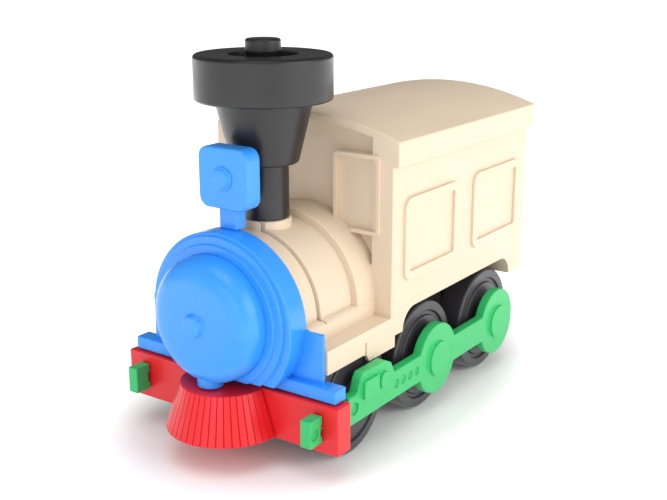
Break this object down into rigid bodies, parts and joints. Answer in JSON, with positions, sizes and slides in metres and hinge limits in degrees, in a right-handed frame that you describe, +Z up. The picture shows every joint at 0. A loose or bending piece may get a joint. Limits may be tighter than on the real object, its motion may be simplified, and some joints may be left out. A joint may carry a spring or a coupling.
{
  "type": "toy train locomotive",
  "caption": "Push-along moulded plastic toy steam locomotive with a cab, stepped boiler, funnel, cowcatcher, side frames and free-turning wheelsets on steel axles.",
  "frame": {"origin": "middle of the bounding box in X and Y, on the ground plane the wheel treads touch", "axes": "+Z up; the engine faces -Y with the cab at +Y; +X is the engine's own left side; the axles run along X"},
  "size_m": [0.072, 0.1346, 0.109],
  "materials": {
    "cream_plastic": "satin moulded plastic",
    "blue_plastic": "satin moulded plastic",
    "red_plastic": "satin moulded plastic",
    "green_plastic": "satin moulded plastic",
    "wheel_plastic": "satin moulded plastic",
    "dark_plastic": "satin moulded plastic",
    "axle_steel": "drawn and polished",
    "screw_steel": "zinc plated"
  },
  "bodies": {
    "engine_body": {"body_shell": "cream_plastic", "cab_roof": "cream_plastic", "smokebox_front": "blue_plastic", "smokebox_door": "blue_plastic", "support_peg": "blue_plastic", "headlamp": "blue_plastic", "buffer_beam": "red_plastic", "cowcatcher": "red_plastic", "chimney": "dark_plastic", "chimney_plug": "dark_plastic", "chassis": "dark_plastic", "buffer_left": "green_plastic", "side_frame_left": "green_plastic", "beam_screw_left": "screw_steel", "buffer_right": "green_plastic", "side_frame_right": "green_plastic", "beam_screw_right": "screw_steel", "chassis_screw_front_left": "screw_steel", "chassis_screw_front_right": "screw_steel", "chassis_screw_rear_left": "screw_steel", "chassis_screw_rear_right": "screw_steel"},
    "front_wheelset": {"axle_front": "axle_steel", "wheel_front_left": "wheel_plastic", "wheel_front_right": "wheel_plastic"},
    "middle_wheelset": {"axle_middle": "axle_steel", "wheel_middle_left": "wheel_plastic", "wheel_middle_right": "wheel_plastic"},
    "rear_wheelset": {"axle_rear": "axle_steel", "wheel_rear_left": "wheel_plastic", "wheel_rear_right": "wheel_plastic"}
  },
  "joints": [
    {"name": "front_wheelset_spin", "type": "hinge", "parent": "engine_body", "child": "front_wheelset", "pos_m": [0, -0.0322, 0.0162], "axis": [1, 0, 0], "continuous": true},
    {"name": "middle_wheelset_spin", "type": "hinge", "parent": "engine_body", "child": "middle_wheelset", "pos_m": [0, 0.0048, 0.0162], "axis": [1, 0, 0], "continuous": true},
    {"name": "rear_wheelset_spin", "type": "hinge", "parent": "engine_body", "child": "rear_wheelset", "pos_m": [0, 0.0428, 0.0162], "axis": [1, 0, 0], "continuous": true}
  ]
}
